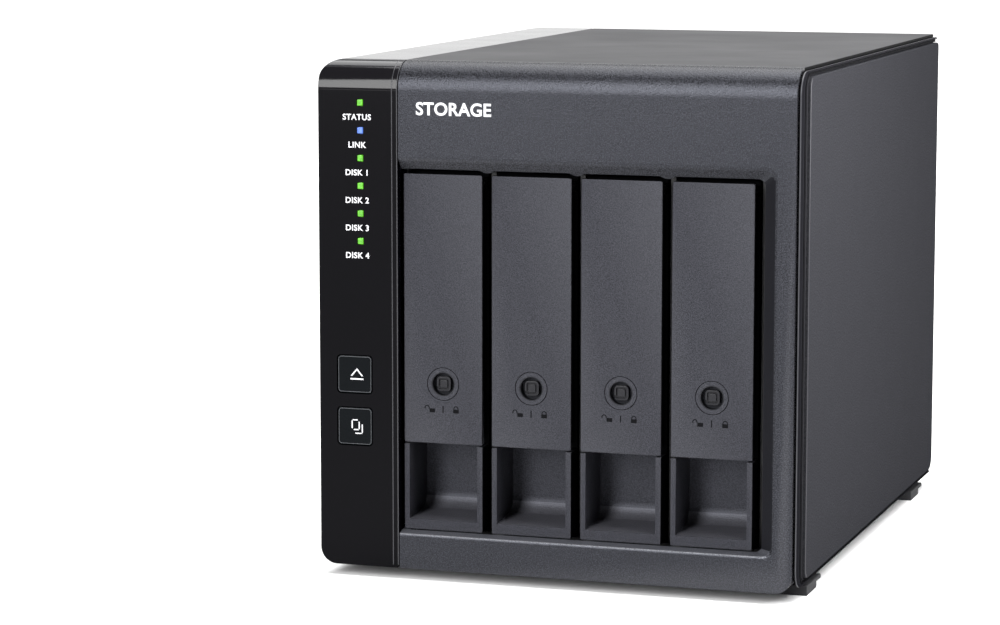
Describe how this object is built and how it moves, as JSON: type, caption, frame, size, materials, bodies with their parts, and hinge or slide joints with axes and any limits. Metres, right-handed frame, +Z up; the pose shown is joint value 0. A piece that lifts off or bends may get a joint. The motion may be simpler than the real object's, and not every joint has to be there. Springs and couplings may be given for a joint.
{
  "type": "disk storage enclosure",
  "caption": "Desktop storage enclosure with lockable pull-out disk trays behind hinged handles, a glossy status panel with lights and push buttons, and a fan at the back.",
  "frame": {"origin": "on the surface it stands on, under the middle of the case", "axes": "+X to the right seen from the front, +Y from the front to the back, +Z up"},
  "size_m": [0.16, 0.219, 0.1685],
  "materials": {
    "grained_plastic": "fine grain, satin",
    "smooth_plastic": "smooth satin",
    "gloss_black": "polished",
    "dark_plastic": "satin",
    "white_plastic": "satin",
    "red_plastic": "satin",
    "rubber": "matte",
    "steel": "satin",
    "black_steel": "matte paint",
    "aluminium": "satin",
    "board": "solder mask",
    "green_light": "lit",
    "blue_light": "lit"
  },
  "bodies": {
    "enclosure": {"front_bezel": "grained_plastic", "side_trim_frame": "grained_plastic", "right_side_panel": "grained_plastic", "left_shell": "smooth_plastic", "top_cover": "smooth_plastic", "base_chassis": "smooth_plastic", "rear_panel": "smooth_plastic", "status_panel": "gloss_black", "foot_front_left": "rubber", "foot_front_right": "rubber", "foot_rear_left": "rubber", "foot_rear_right": "rubber", "status_light": "green_light", "link_light": "blue_light", "disk_light_1": "green_light", "disk_light_2": "green_light", "disk_light_3": "green_light", "disk_light_4": "green_light", "front_control_board": "board", "backplane_board": "board", "main_board": "board", "drive_cage": "black_steel", "drive_connector_1": "dark_plastic", "drive_connector_2": "dark_plastic", "drive_connector_3": "dark_plastic", "drive_connector_4": "dark_plastic", "heat_sink": "aluminium", "fan_frame": "dark_plastic", "fan_guard": "steel", "fan_screw_low_left": "steel", "fan_screw_low_right": "steel", "fan_screw_high_left": "steel", "fan_screw_high_right": "steel", "mode_switch": "red_plastic", "link_port": "steel", "power_socket": "dark_plastic"},
    "bay_1": {"tray_sled_1": "grained_plastic", "handle_pin_1": "steel"},
    "handle_1": {"tray_handle_1": "grained_plastic"},
    "lock_1": {"lock_cylinder_1": "dark_plastic"},
    "bay_2": {"tray_sled_2": "grained_plastic", "handle_pin_2": "steel"},
    "handle_2": {"tray_handle_2": "grained_plastic"},
    "lock_2": {"lock_cylinder_2": "dark_plastic"},
    "bay_3": {"tray_sled_3": "grained_plastic", "handle_pin_3": "steel"},
    "handle_3": {"tray_handle_3": "grained_plastic"},
    "lock_3": {"lock_cylinder_3": "dark_plastic"},
    "bay_4": {"tray_sled_4": "grained_plastic", "handle_pin_4": "steel"},
    "handle_4": {"tray_handle_4": "grained_plastic"},
    "lock_4": {"lock_cylinder_4": "dark_plastic"},
    "eject_button": {"eject_button": "gloss_black"},
    "copy_button": {"copy_button": "gloss_black"},
    "power_button": {"power_button": "dark_plastic"},
    "set_button": {"set_button": "dark_plastic"},
    "mode_slider_1": {"mode_slider_1": "white_plastic"},
    "mode_slider_2": {"mode_slider_2": "white_plastic"},
    "mode_slider_3": {"mode_slider_3": "white_plastic"},
    "fan_rotor": {"fan_rotor": "dark_plastic"}
  },
  "joints": [
    {"name": "bay_1_slide", "type": "slide", "parent": "enclosure", "child": "bay_1", "axis": [0, -1, 0], "range_m": [0, 0.17]},
    {"name": "handle_1_hinge", "type": "hinge", "parent": "bay_1", "child": "handle_1", "pos_m": [-0.0386, -0.1035, 0.1296], "axis": [-1, 0, 0], "range_deg": [0, 45]},
    {"name": "lock_1_turn", "type": "hinge", "parent": "handle_1", "child": "lock_1", "pos_m": [-0.0386, -0.1065, 0.0644], "axis": [0, 1, 0], "range_deg": [0, 90]},
    {"name": "bay_2_slide", "type": "slide", "parent": "enclosure", "child": "bay_2", "axis": [0, -1, 0], "range_m": [0, 0.17]},
    {"name": "handle_2_hinge", "type": "hinge", "parent": "bay_2", "child": "handle_2", "pos_m": [-0.00875, -0.1035, 0.1296], "axis": [-1, 0, 0], "range_deg": [0, 45]},
    {"name": "lock_2_turn", "type": "hinge", "parent": "handle_2", "child": "lock_2", "pos_m": [-0.00875, -0.1065, 0.0644], "axis": [0, 1, 0], "range_deg": [0, 90]},
    {"name": "bay_3_slide", "type": "slide", "parent": "enclosure", "child": "bay_3", "axis": [0, -1, 0], "range_m": [0, 0.17]},
    {"name": "handle_3_hinge", "type": "hinge", "parent": "bay_3", "child": "handle_3", "pos_m": [0.0211, -0.1035, 0.1296], "axis": [-1, 0, 0], "range_deg": [0, 45]},
    {"name": "lock_3_turn", "type": "hinge", "parent": "handle_3", "child": "lock_3", "pos_m": [0.0211, -0.1065, 0.0644], "axis": [0, 1, 0], "range_deg": [0, 90]},
    {"name": "bay_4_slide", "type": "slide", "parent": "enclosure", "child": "bay_4", "axis": [0, -1, 0], "range_m": [0, 0.17]},
    {"name": "handle_4_hinge", "type": "hinge", "parent": "bay_4", "child": "handle_4", "pos_m": [0.05095, -0.1035, 0.1296], "axis": [-1, 0, 0], "range_deg": [0, 45]},
    {"name": "lock_4_turn", "type": "hinge", "parent": "handle_4", "child": "lock_4", "pos_m": [0.05095, -0.1065, 0.0644], "axis": [0, 1, 0], "range_deg": [0, 90]},
    {"name": "eject_press", "type": "slide", "parent": "enclosure", "child": "eject_button", "axis": [0, 1, 0], "range_m": [0, 0.0008], "stiffness_N_per_m": 1200, "springref_m": -0.0004},
    {"name": "copy_press", "type": "slide", "parent": "enclosure", "child": "copy_button", "axis": [0, 1, 0], "range_m": [0, 0.0008], "stiffness_N_per_m": 1200, "springref_m": -0.0004},
    {"name": "power_press", "type": "slide", "parent": "enclosure", "child": "power_button", "axis": [0, -1, 0], "range_m": [0, 0.0012], "stiffness_N_per_m": 1000, "springref_m": -0.0004},
    {"name": "set_press", "type": "slide", "parent": "enclosure", "child": "set_button", "axis": [0, -1, 0], "range_m": [0, 0.0006], "stiffness_N_per_m": 1200, "springref_m": -0.0004},
    {"name": "mode_1_slide", "type": "slide", "parent": "enclosure", "child": "mode_slider_1", "axis": [1, 0, 0], "range_m": [0, 0.0026]},
    {"name": "mode_2_slide", "type": "slide", "parent": "enclosure", "child": "mode_slider_2", "axis": [1, 0, 0], "range_m": [0, 0.0026]},
    {"name": "mode_3_slide", "type": "slide", "parent": "enclosure", "child": "mode_slider_3", "axis": [1, 0, 0], "range_m": [0, 0.0026]},
    {"name": "fan_spin", "type": "hinge", "parent": "enclosure", "child": "fan_rotor", "pos_m": [0.006, 0.0787, 0.086], "axis": [0, 1, 0], "continuous": true}
  ]
}
